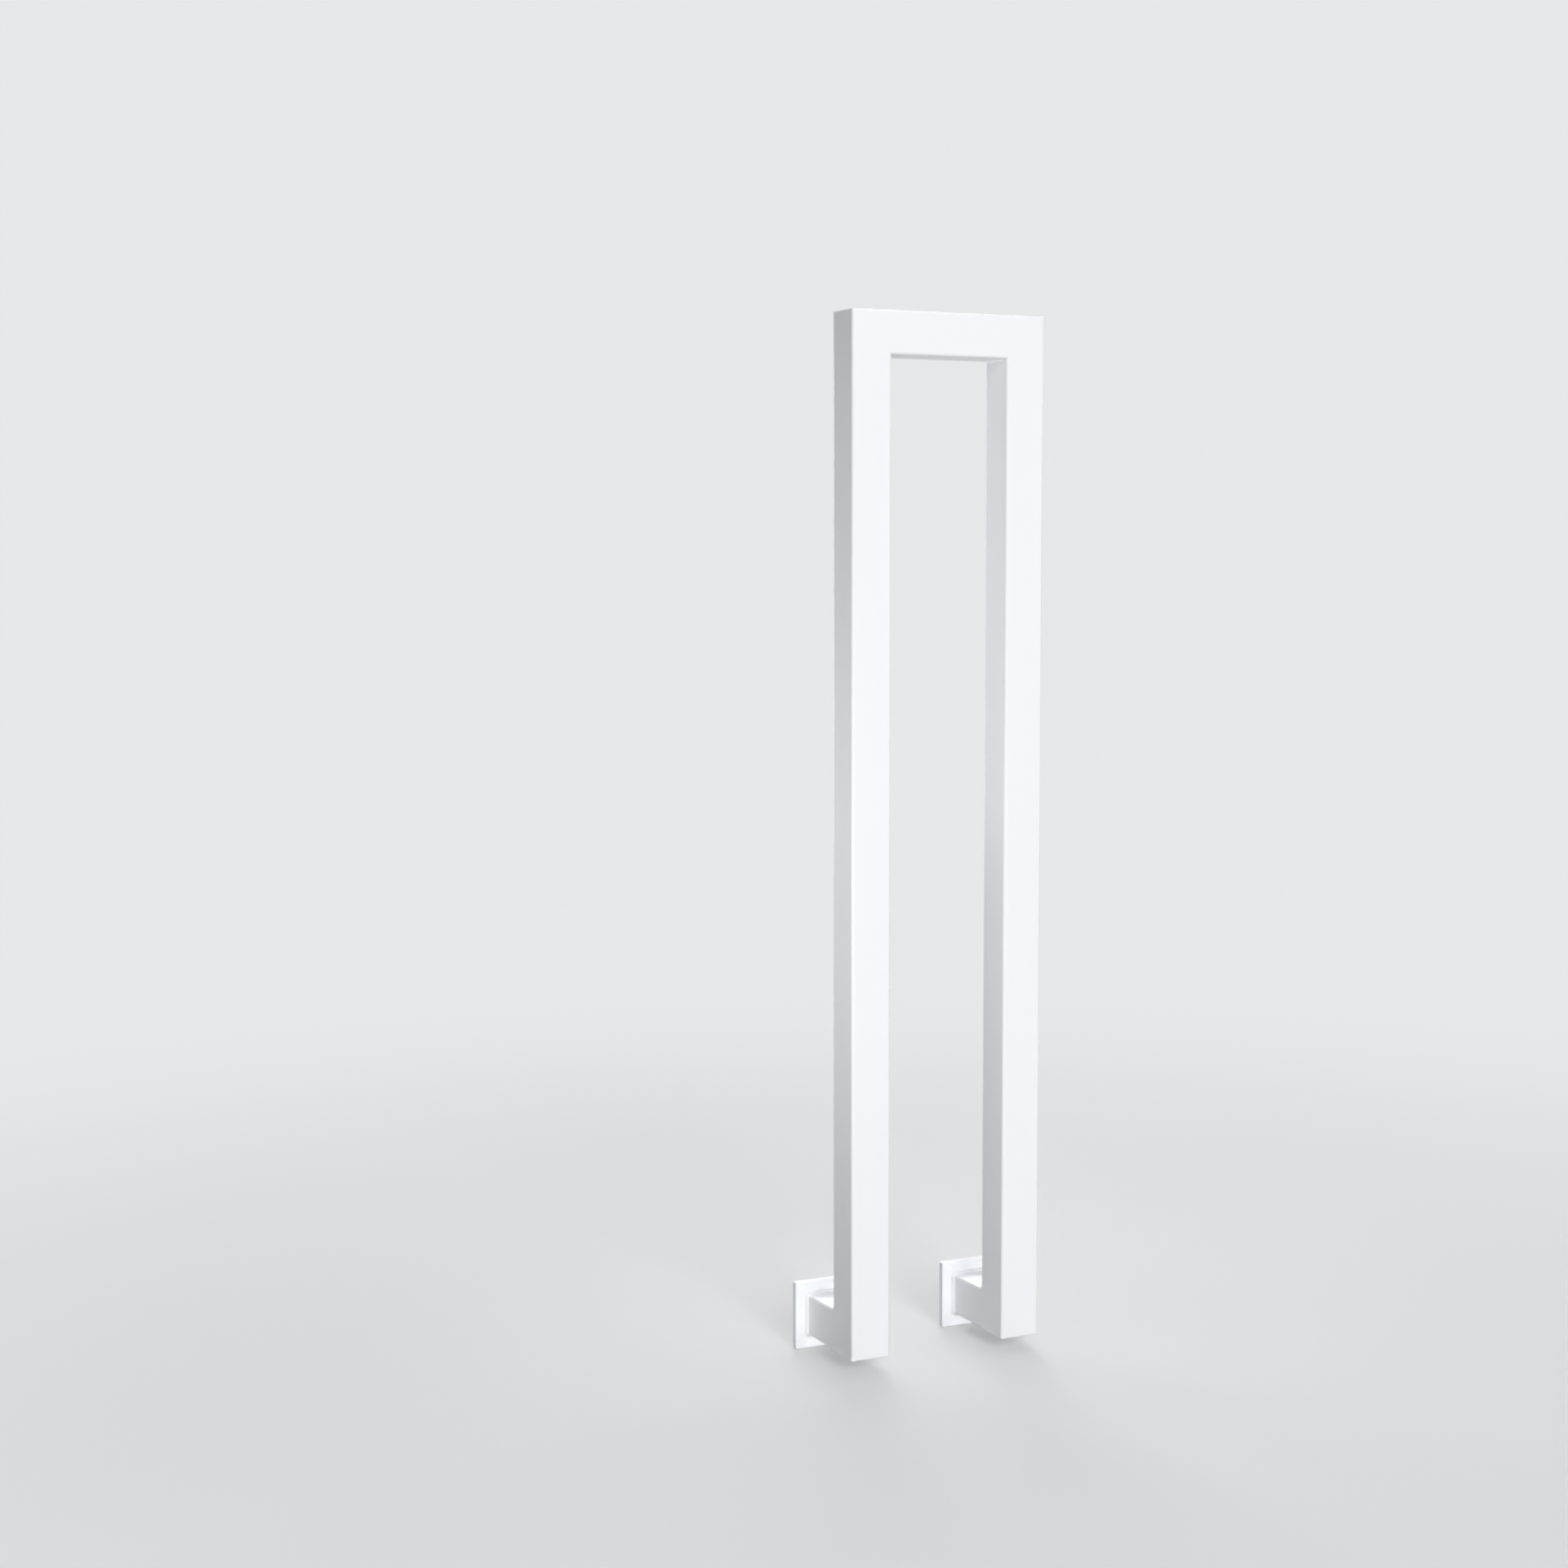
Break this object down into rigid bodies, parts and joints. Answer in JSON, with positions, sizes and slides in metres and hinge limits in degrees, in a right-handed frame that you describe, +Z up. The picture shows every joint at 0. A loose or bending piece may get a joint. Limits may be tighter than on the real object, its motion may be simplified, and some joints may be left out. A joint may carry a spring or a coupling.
{
  "type": "wall-fixed stair railing frame",
  "caption": "Inverted U of square steel tube that stands off the side of a stair on short arms with screwed wall plates, as a short guard and grab rail beside the steps.",
  "frame": {"origin": "centre of the front wall plate's back face, where it lies on the wall", "axes": "+X along the steps from the front post to the rear post, +Y into the wall, square to both plates' back faces, +Z up along the posts"},
  "size_m": [0.225, 0.1, 0.9775],
  "materials": {
    "white_powder_coat": "white powder coat, satin, on welded mild steel"
  },
  "bodies": {
    "root": {"front_post": "white_powder_coat", "rear_post": "white_powder_coat", "handrail": "white_powder_coat", "front_standoff": "white_powder_coat", "rear_standoff": "white_powder_coat", "front_wall_plate": "white_powder_coat", "rear_wall_plate": "white_powder_coat", "front_foot_cap": "white_powder_coat", "rear_foot_cap": "white_powder_coat"}
  },
  "joints": []
}
